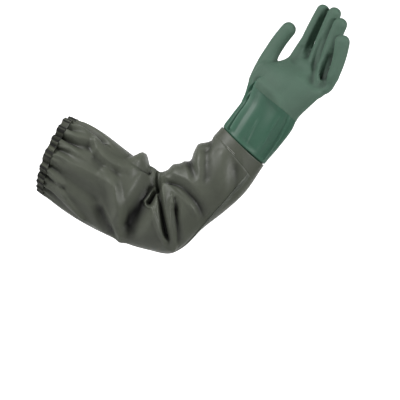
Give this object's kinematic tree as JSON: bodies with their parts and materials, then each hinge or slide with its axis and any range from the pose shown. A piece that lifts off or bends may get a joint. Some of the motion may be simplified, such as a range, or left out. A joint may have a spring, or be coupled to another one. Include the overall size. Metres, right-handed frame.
{
  "type": "long rubber work glove",
  "caption": "Long left work glove: a dipped hand and smooth gauntlet joined to a fabric sleeve that reaches the upper arm, bent at the elbow.",
  "frame": {"origin": "the centre of the sleeve's mouth, where the arm goes in", "axes": "+Z from the wrist to the fingertips, -Y the palm's side, -X out of the sleeve's mouth"},
  "size_m": [0.3519, 0.1248, 0.567],
  "materials": {
    "sandy_coat": "matte green coat with a fine sandy grain",
    "smooth_coat": "smooth green coat with a soft gloss",
    "coated_fabric": "olive grey coated fabric with a satin sheen",
    "band_fabric": "grey coated band, satin",
    "hem_fabric": "dark olive gathered casing"
  },
  "bodies": {
    "root": {"hand": "sandy_coat", "gauntlet": "smooth_coat", "sleeve": "coated_fabric", "joint_band": "band_fabric", "side_seam": "coated_fabric", "elastic_hem": "hem_fabric"}
  },
  "joints": []
}
